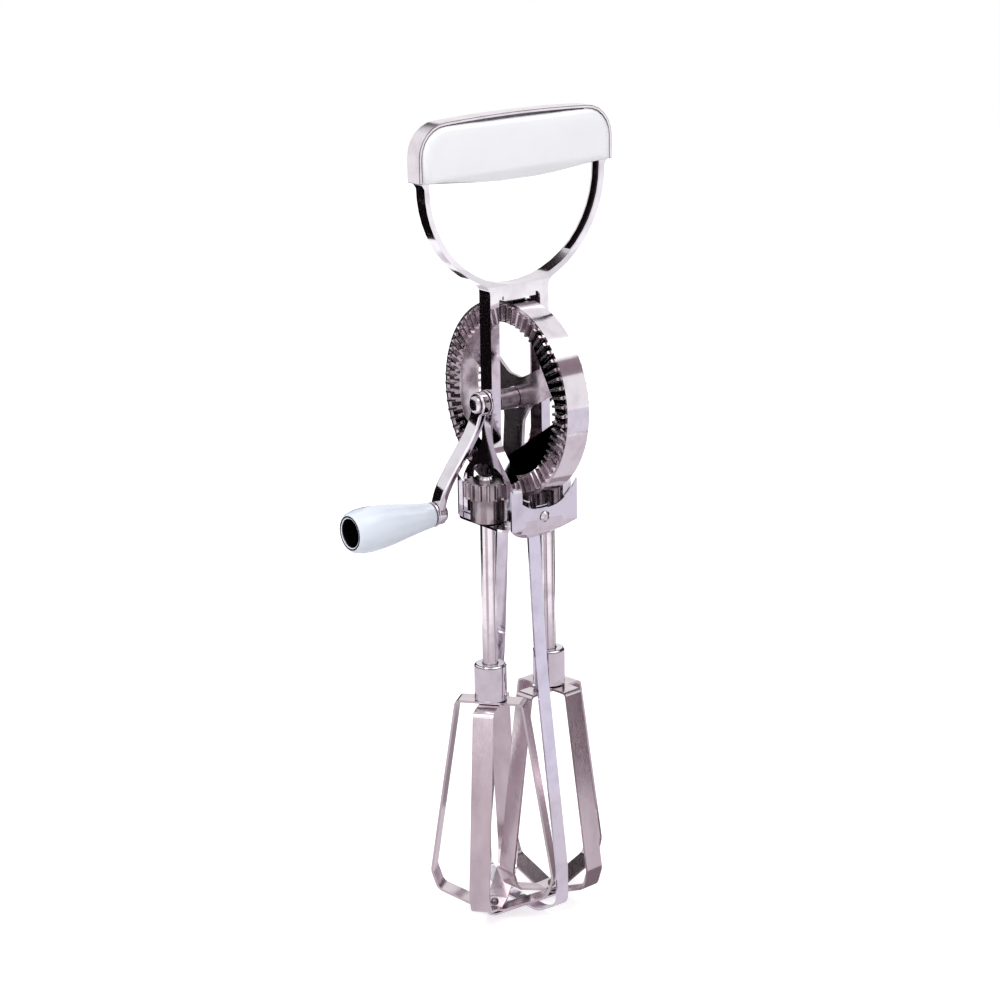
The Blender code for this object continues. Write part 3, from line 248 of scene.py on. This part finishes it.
FRAME_PLATE = nickel_plate("nickel_plated_pressed_steel", "#E0DBE2", "#CFC8D0", 0.07, 9.0, 0.12,
                           0.04)
# Painted shade along the eased edges: a fine dark line drawn round each part.
EDGE_SHADE_LINE = nickel_plate("painted_shade_line_on_edges", "#75696F", "#5A4F55", 0.22, 2.0, 0.10,
                         0.10)
# Painted shade: the insides of the channel, darker than the plate outside as shade in the recess.
ARM_CHANNEL_SHADE = turned_steel("painted_shade_inside_the_arms", "#473C41")
LEG_CHANNEL_SHADE = turned_steel("painted_shade_inside_the_legs", "#A0939A")
# The wheel is bright on its rim, and satin where the cutter and the press left the teeth.
WHEEL_PLATE = nickel_plate("nickel_plated_wheel_rim", "#E6E0E6", "#D2CAD1", 0.08, 7.0, 0.12, 0.05)
WHEEL_SATIN = nickel_plate("nickel_plated_wheel_teeth", "#D2C8CE", "#A2959B", 0.18, 3.0, 0.20,
                           0.08)
# The long strap is the cleanest plate on the tool and shows a cool, slow ripple.
STRAP_PLATE = nickel_plate("nickel_plated_strap", "#E6E2EC", "#D6D0DA", 0.08, 12.0, 0.12, 0.04)
# Polished aluminium round the grip, softer and paler than the nickel.
BAND_ALUMINIUM = nickel_plate("satin_aluminium_band", "#E6DFE5", "#D6CDD4", 0.20, 10.0, 0.08,
                              0.06)
# Plated round bar, whose highlights run as long stripes.
ROD_PLATE = nickel_plate("nickel_plated_rod", "#D6CED4", "#BEB3BA", 0.10, 6.0, 0.08, 0.06)
BLADE_STRIP = rolled_strip("rolled_stainless_strip", "#D8CDD2", "#C2B6BC")
TURNED_STEEL = turned_steel("bare_turned_steel", "#857C81")
# Cut gear steel with the light caught on each tooth; its dark tone is partly the steel's own, partly
# painted shade for its place under the bell.
PINION_STEEL = nickel_plate("cut_gear_steel_with_painted_shade", "#9A8E94", "#6F6369", 0.16, 4.0, 0.15,
                            0.10)
# Painted shade down the knob's bore: a dark brown in the hole.
KNOB_BORE_SHADE = turned_steel("painted_shade_in_knob_bore", "#3A302D")
# Finishes whose eased edges get the painted shade line
PLATED = (FRAME_PLATE, WHEEL_PLATE, STRAP_PLATE, BAND_ALUMINIUM, BLADE_STRIP)
GRIP_PLASTIC = moulded_plastic("white_moulded_polystyrene", "#F4F4F9", "#F0F0F6", 0.20, 1.55)
KNOB_PLASTIC = moulded_plastic("pale_blue_moulded_polystyrene", "#E2E8F3", "#DBE2EE", 0.14, 1.55)


# Modelling
def deselect_all():
    """An operator acts on all that is selected, so nothing is left so."""
    bpy.ops.object.select_all(action="DESELECT")


def pick(piece):
    """Select one piece alone and make it active."""
    deselect_all()
    piece.select_set(True)
    bpy.context.view_layer.objects.active = piece


def apply_modifier(piece, kind, **settings):
    """Add a modifier with its settings and apply it."""
    pick(piece)
    modifier = piece.modifiers.new(kind.lower(), kind)
    for key, value in settings.items():
        setattr(modifier, key, value)
    bpy.ops.object.modifier_apply(modifier=modifier.name)


def merged_copy(node, name):
    """A copy of a CAD node with its loose triangles joined and its flat faces made whole."""
    pick(frame["nodes"][node])
    bpy.ops.object.duplicate()
    piece = bpy.context.view_layer.objects.active
    piece.name = name
    piece.parent = None
    for key in list(piece.keys()):
        del piece[key]
    piece.data.materials.clear()
    pick(piece)
    bpy.ops.object.mode_set(mode="EDIT")
    bpy.ops.mesh.select_all(action="SELECT")
    bpy.ops.mesh.remove_doubles(threshold=0.004 * MM)
    bpy.ops.mesh.dissolve_limited(angle_limit=math.radians(0.6))
    bpy.ops.object.mode_set(mode="OBJECT")
    return piece


def soften_edges(piece, width_mm, angle_deg=32, segments=2):
    """Ease the edges; a piece with a second material gets it there, as a painted shade line."""
    # The bevels take the second material: the painted shade line along the edges.
    second_finish = 1 if len(piece.data.materials) > 1 else -1
    apply_modifier(piece, "BEVEL", width=width_mm * MM, segments=segments, material=second_finish,
                   limit_method="ANGLE", angle_limit=math.radians(angle_deg),
                   use_clamp_overlap=True, miter_outer="MITER_ARC")


def coat(piece, *materials):
    """Give a piece its materials, the main one first."""
    piece.data.materials.clear()
    for material in materials:
        piece.data.materials.append(material)


def smooth_faces(piece, angle_deg=40):
    """Shade a piece smooth, with its edges sharp past an angle."""
    pick(piece)
    bpy.ops.object.shade_smooth_by_angle(angle=math.radians(angle_deg))


def flatten_broad_faces(piece):
    """Keep the broad faces flat and let only the eased edges turn the light."""
    pick(piece)
    bpy.ops.object.shade_smooth()
    apply_modifier(piece, "WEIGHTED_NORMAL", mode="FACE_AREA", weight=60, keep_sharp=True)


def hand_over(piece, *nodes):
    """Put a finished piece on its body and hide the CAD nodes that it stands for."""
    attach(piece, BODY_OF[nodes[0]])
    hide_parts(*nodes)
    return piece


def dress(node, name, material, width_mm, angle_deg=32, smooth_deg=40, segments=2):
    """Finish a CAD form: edges eased by the real break of the press or the lathe."""
    piece = merged_copy(node, name)
    # Plated pieces take the painted shade line on their eased edges.
    coat(piece, *([material, EDGE_SHADE_LINE] if material in PLATED else [material]))
    smooth_faces(piece, smooth_deg)
    if width_mm:
        soften_edges(piece, width_mm, angle_deg, segments)
        flatten_broad_faces(piece)
    return hand_over(piece, node)


def edit(piece, element="VERT"):
    """Open a piece in edit mode with nothing selected."""
    pick(piece)
    bpy.ops.object.mode_set(mode="EDIT")
    bpy.ops.mesh.select_mode(type=element)
    bpy.ops.mesh.select_all(action="DESELECT")
    bpy.ops.object.mode_set(mode="OBJECT")


def select_where(piece, test):
    """Select the faces whose centre and normal pass a test, then open edit mode."""
    edit(piece, "FACE")
    for face in piece.data.polygons:
        face.select = test(face.center, face.normal)
    bpy.ops.object.mode_set(mode="EDIT")


def shape_done():
    """Leave edit mode."""
    bpy.ops.object.mode_set(mode="OBJECT")


def make_frame():
    """The pressed frame. The bridge's two flanges hang a little lower over the wheel than the
    plain solid's do, which closes the slot between bridge and wheel as on the real one."""
    piece = merged_copy("frame", "frame_channel")
    select_where(piece, lambda at, normal: normal.z < -0.9 and abs(at.y) < BRIDGE_HALF_LENGTH
                 and abs(at.z - BRIDGE_UNDERSIDE) < 1.0 * MM)
    bpy.ops.mesh.extrude_region_move(TRANSFORM_OT_translate={"value": (0, 0, -BRIDGE_LIP)})
    shape_done()
    # Slot 1 is the painted shade line on the edges, slots 2 and 3 the painted shade inside the
    # channel.
    coat(piece, FRAME_PLATE, EDGE_SHADE_LINE, ARM_CHANNEL_SHADE, LEG_CHANNEL_SHADE)
    smooth_faces(piece, 40)
    soften_edges(piece, FRAME_EDGE)
    flatten_broad_faces(piece)
    # The channel's inner walls get painted shade, darker on the arms above the bridge than on the
    # legs.
    for face in piece.data.polygons:
        if inside_the_channel(face.center, face.normal):
            face.material_index = 2 if face.center.z > BRIDGE_UNDERSIDE else 3
    hand_over(piece, "frame")


def inside_the_channel(at, normal):
    """True on the inner walls of the channel, which get the painted shade."""
    if normal.x * at.x < 0 and abs(normal.x) > 0.7:
        return True
    out = Vector((0, at.y, at.z - ARM_CENTRE))
    if at.z > BRIDGE_UNDERSIDE:
        return out.length > ARM_WEB_RADIUS and normal.dot(out.normalized()) < -0.5
    return abs(at.y) > LEG_WEB_Y and normal.y * at.y < 0 and abs(normal.y) > 0.5


def make_crank():
    """Forged arm: a bar that steps outwards from the hub to the knob's eye, clear of the pinion
    below it, with a round boss at each end."""
    middle = CRANK_SEAT + CRANK_THICK / 2
    deselect_all()
    bpy.ops.mesh.primitive_plane_add(size=1.0, location=(0, -middle, 0))
    arm = bpy.context.view_layer.objects.active
    arm.name = "crank_arm_forging"
    bpy.ops.object.mode_set(mode="EDIT")
    bpy.ops.mesh.select_all(action="SELECT")
    bpy.ops.transform.resize(value=(CRANK_WIDTH, CRANK_THICK, 1))
    stations = 20
    risen = 0.0
    for i in range(1, stations + 1):
        along = CRANK_LENGTH * i / stations
        share = min(max((along - CRANK_STEP_START) / CRANK_STEP_LENGTH, 0.0), 1.0)
        rise = CRANK_STEP_OUT * share * share * (3 - 2 * share)
        bpy.ops.mesh.extrude_region_move(
            TRANSFORM_OT_translate={"value": (0, risen - rise, CRANK_LENGTH / stations)})
        risen = rise
    bpy.ops.mesh.select_all(action="SELECT")
    bpy.ops.mesh.normals_make_consistent(inside=False)
    shape_done()
    soften_edges(arm, CRANK_EDGE, 60, 4)
    for height, out, radius in ((0, middle, CRANK_HUB_RADIUS),
                                (CRANK_LENGTH, middle + CRANK_STEP_OUT, CRANK_EYE_RADIUS)):
        deselect_all()
        bpy.ops.mesh.primitive_cylinder_add(vertices=40, radius=radius, depth=CRANK_THICK,
                                            location=(0, -out, height),
                                            rotation=(math.radians(90), 0, 0))
        boss = bpy.context.view_layer.objects.active
        soften_edges(boss, BOSS_EDGE, 40, 3)
        apply_modifier(arm, "BOOLEAN", operation="UNION", object=boss, solver="EXACT")
        bpy.data.objects.remove(boss)
    pick(arm)
    arm.rotation_euler = (0, math.pi + CRANK_ANGLE, 0)
    arm.location = (arm.location.x, arm.location.y, WHEEL_HEIGHT)
    bpy.ops.object.transform_apply(location=True, rotation=True, scale=True)
    coat(arm, FRAME_PLATE)
    smooth_faces(arm, 35)
    flatten_broad_faces(arm)
    hand_over(arm, "crank_arm")


def make_knob():
    """Hollow barrel, with painted shade down its bore."""
    knob = dress("knob", "knob_barrel", KNOB_PLASTIC, KNOB_EDGE, 50, 60)
    knob.data.materials.append(KNOB_BORE_SHADE)
    # Faces down the bore get the painted shade.
    for face in knob.data.polygons:
        out = math.hypot(face.center.x - KNOB_AXIS[0], face.center.z - KNOB_AXIS[1])
        in_bore = out < KNOB_BORE_RADIUS and face.center.y < KNOB_BORE_FLOOR_Y
        face.material_index = 1 if in_bore else 0


def make_grip():
    """The moulded grip, with the full belly that the palm closes on."""
    piece = merged_copy("grip", "grip_moulding")
    low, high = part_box("grip")
    select_where(piece, lambda at, normal: normal.z < -0.3 and at.z < low.z + 3 * MM)
    bpy.ops.mesh.subdivide(number_cuts=9)
    shape_done()
    edit(piece, "VERT")
    for vertex in piece.data.vertices:
        vertex.select = abs(vertex.co.y) < 9 * MM and vertex.co.z < low.z + 2 * MM
    bpy.ops.object.mode_set(mode="EDIT")
    bpy.ops.transform.translate(value=(0, 0, -GRIP_BELLY), use_proportional_edit=True,
                                proportional_edit_falloff="SMOOTH", proportional_size=32 * MM)
    shape_done()
    coat(piece, GRIP_PLASTIC)
    smooth_faces(piece, 60)
    hand_over(piece, "grip")


def make_pieces():
    """Every CAD node gets its finished piece: three forms shaped by hand, the rest dressed."""
    make_frame()
    make_grip()
    dress("grip_band", "grip_strap", BAND_ALUMINIUM, PRESSED_EDGE)
    dress("gear_pan", "gear_pan_pressing", FRAME_PLATE, PRESSED_EDGE)
    dress("bail", "bail_strap", STRAP_PLATE, STRAP_EDGE)
    dress("foot_bar", "foot_cross_bar", STRAP_PLATE, PRESSED_EDGE)
    wheel = dress("crown_wheel", "crown_wheel_pressing", WHEEL_PLATE, WHEEL_EDGE, 32, 35, 1)
    wheel.data.materials.append(WHEEL_SATIN)
    for face in wheel.data.polygons:
        out = math.hypot(face.center.x, face.center.z - WHEEL_HEIGHT)
        if out < WHEEL_RIM_INNER:
            face.material_index = 2
    make_crank()
    make_knob()
    for node, name in (("pan_rivet_left", "pan_rivet_left_head"),
                       ("pan_rivet_right", "pan_rivet_right_head"),
                       ("foot_rivet", "foot_rivet_head"), ("axle", "wheel_axle"),
                       ("knob_pin", "knob_pin_rivet"), ("hub_sleeve", "hub_spacer")):
        material = ROD_PLATE if node.startswith("pan") or node == "axle" else TURNED_STEEL
        dress(node, name, material, TURNED_EDGE, 32, 45)
    for node, name in (("front_axle_washer", "axle_washer_front"),
                       ("rear_axle_washer", "axle_washer_rear"),
                       ("knob_washer", "knob_thrust_washer")):
        dress(node, name, ROD_PLATE, FINE_EDGE, 32, 45)
    for label in ("front", "rear"):
        dress("%s_pivot_pin" % label, "%s_foot_pin" % label, TURNED_STEEL, FINE_EDGE, 32, 45)
        dress("%s_pinion" % label, "%s_pinion_gear" % label, PINION_STEEL, FINE_EDGE, 32, 35, 1)
        dress("%s_shaft" % label, "%s_shaft_rod" % label, ROD_PLATE, TURNED_EDGE, 32, 45)
        dress("%s_collar" % label, "%s_blade_collar" % label, FRAME_PLATE, COLLAR_EDGE, 32, 45)
        for loop in ("outer", "inner"):
            dress("%s_%s_blades" % (label, loop), "%s_%s_blade_loop" % (label, loop), BLADE_STRIP,
                  BLADE_EDGE, 40, 40)


# Studio
FLOOR_SIZE = 3.0
FLOOR_DROP = 0.0004
SKY_ON_DULL_SURFACES = 0.74
SKY_IN_MIRRORS = 1.0
PAPER_GREY = 0.80
PAPER_GLOW = 0.55
SHEET_STEP = 0.0001

# Upright cards that the polished metal mirrors: name, compass angle in degrees from the front,
# distance, width, foot and head in metres, colour, brightness
STUDIO_CARDS = (
    ("black_flag_left", -60, 0.36, 0.32, 0.03, 0.203, "#120C0F", 1.0),
    ("dark_flag_back_left", -100, 0.40, 0.22, 0.0, 0.60, "#2A2126", 1.0),
    ("mauve_card_front", 26, 0.36, 0.26, 0.0, 0.076, "#E3D8DE", 1.0),
    ("white_card_front", 26, 0.37, 0.26, 0.076, 0.26, "#FFFFFF", 1.5),
    ("lavender_card_right", 121, 0.36, 0.125, 0.0, 0.17, "#EAE6F2", 1.0),
    ("brown_card_right", 141, 0.36, 0.125, 0.0, 0.17, "#85767C", 1.0),
    ("mauve_bar_right", 132, 0.37, 0.40, 0.37, 0.49, "#98868D", 1.0),
    ("brown_flag_back_right", 185, 0.40, 0.32, 0.0, 0.60, "#4E4146", 1.0),
)

# Round sheets on the floor: name, compass angle, distance, radius, layer from below, colour
FLOOR_CARDS = (
    ("pale_table", 0, 0.0, 0.36, 0, "#E2DAE1"),
    ("shaded_table_right", 165, 0.07, 0.05, 1, "#8C7E85"),
    ("shaded_table_back", 212, 0.13, 0.06, 1, "#A3969D"),
)

# Soft lamps: name, compass angle, height angle, distance, side, power in watts
SOFT_LAMPS = (
    ("key_softbox", 20, 50, 1.2, 0.7, 5.5),
    ("fill_softbox", 130, 58, 1.3, 0.8, 3.0),
)


def seen_in_mirror(tree):
    """1 for rays that come from the camera, a mirror surface or through glass."""
    rays = add_node(tree, "ShaderNodeLightPath")
    first = add_node(tree, "ShaderNodeMath", {"operation": "MAXIMUM"},
                     {0: rays.outputs["Is Camera Ray"], 1: rays.outputs["Is Glossy Ray"]})
    return add_node(tree, "ShaderNodeMath", {"operation": "MAXIMUM"},
                    {0: first.outputs[0], 1: rays.outputs["Is Transmission Ray"]}).outputs[0]


def light_world():
    """A white room: plain soft light on dull surfaces, pure white in mirrors and the view."""
    world = bpy.data.worlds.new("white_studio")
    bpy.context.scene.world = world
    world.use_nodes = True
    tree = world.node_tree
    tree.nodes.clear()
    soft = add_node(tree, "ShaderNodeBackground",
                    {"Color": (1, 1, 1, 1), "Strength": SKY_ON_DULL_SURFACES})
    white = add_node(tree, "ShaderNodeBackground",
                     {"Color": (1, 1, 1, 1), "Strength": SKY_IN_MIRRORS})
    mix = add_node(tree, "ShaderNodeMixShader", None,
                   {0: seen_in_mirror(tree), 1: soft.outputs[0], 2: white.outputs[0]})
    add_node(tree, "ShaderNodeOutputWorld", None, {"Surface": mix.outputs[0]})


def white_floor():
    """Paper that keeps the tool's shadow and fades into the white behind it."""
    material = bpy.data.materials.new("white_paper_floor")
    material.use_nodes = True
    tree = material.node_tree
    tree.nodes.clear()
    paper = add_node(tree, "ShaderNodeBsdfDiffuse", {"Color": (PAPER_GREY, PAPER_GREY, PAPER_GREY, 1)})
    glow = add_node(tree, "ShaderNodeEmission",
                    {"Color": (1, 1, 1, 1), "Strength": PAPER_GLOW})
    both = add_node(tree, "ShaderNodeAddShader", None, {0: paper.outputs[0], 1: glow.outputs[0]})
    mix = add_node(tree, "ShaderNodeMixShader", None,
                   {0: seen_in_mirror(tree), 1: paper.outputs[0], 2: both.outputs[0]})
    add_node(tree, "ShaderNodeOutputMaterial", None, {"Surface": mix.outputs[0]})
    deselect_all()
    bpy.ops.mesh.primitive_plane_add(size=FLOOR_SIZE, location=(0, 0, -FLOOR_DROP))
    floor = bpy.context.view_layer.objects.active
    floor.name = "studio_floor"
    floor.data.materials.append(material)


def studio_card(name, azimuth_deg, distance, width, low_z, high_z, tint, strength):
    """An upright card beside the tool, which only the polished metal sees."""
    azimuth = math.radians(azimuth_deg)
    centre = facing(azimuth, 0) * distance + Vector((0, 0, (low_z + high_z) / 2))
    deselect_all()
    bpy.ops.mesh.primitive_plane_add(size=1.0, location=centre,
                                     rotation=(math.radians(90), 0, azimuth))
    card = bpy.context.view_layer.objects.active
    card.scale = (width, high_z - low_z, 1)
    mirror_only(card, name, tint, strength)


def floor_card(name, azimuth_deg, distance, radius, layer, tint):
    """A round sheet on the floor, which only the polished metal sees."""
    centre = facing(math.radians(azimuth_deg), 0) * distance
    height = (layer + 1) * SHEET_STEP - FLOOR_DROP
    deselect_all()
    bpy.ops.mesh.primitive_circle_add(vertices=48, radius=radius, fill_type="NGON",
                                      location=(centre.x, centre.y, height))
    mirror_only(bpy.context.view_layer.objects.active, name, tint, 1.0)


def mirror_only(card, name, tint, strength):
    """Make a card glow in its colour for mirrors, and hide it from everything else."""
    material = bpy.data.materials.new(name)
    material.use_nodes = True
    tree = material.node_tree
    tree.nodes.clear()
    glow = add_node(tree, "ShaderNodeEmission", {"Color": shade(tint), "Strength": strength})
    add_node(tree, "ShaderNodeOutputMaterial", None, {"Surface": glow.outputs[0]})
    card.name = name
    card.data.materials.append(material)
    card.visible_camera = False
    card.visible_diffuse = False
    card.visible_shadow = False
    card.visible_transmission = False


def soft_lamp(name, azimuth_deg, elevation_deg, distance, size, power):
    """A square lamp that faces the middle of the tool."""
    light = bpy.data.lights.new(name, "AREA")
    light.shape = "SQUARE"
    light.size = size
    light.energy = power
    lamp = bpy.data.objects.new(name, light)
    bpy.context.scene.collection.objects.link(lamp)
    back = facing(math.radians(azimuth_deg), math.radians(elevation_deg))
    lamp.location = Vector((0, 0, AIM_HEIGHT)) + back * distance
    lamp.rotation_euler = back.to_track_quat("Z", "Y").to_euler()


def build_studio():
    """Room, floor, lamps and cards, and the plain view transform."""
    light_world()
    white_floor()
    for lamp in SOFT_LAMPS:
        soft_lamp(*lamp)
    for card in STUDIO_CARDS:
        studio_card(*card)
    for sheet in FLOOR_CARDS:
        floor_card(*sheet)
    bpy.context.scene.view_settings.view_transform = "Standard"


set_camera()
make_pieces()
build_studio()
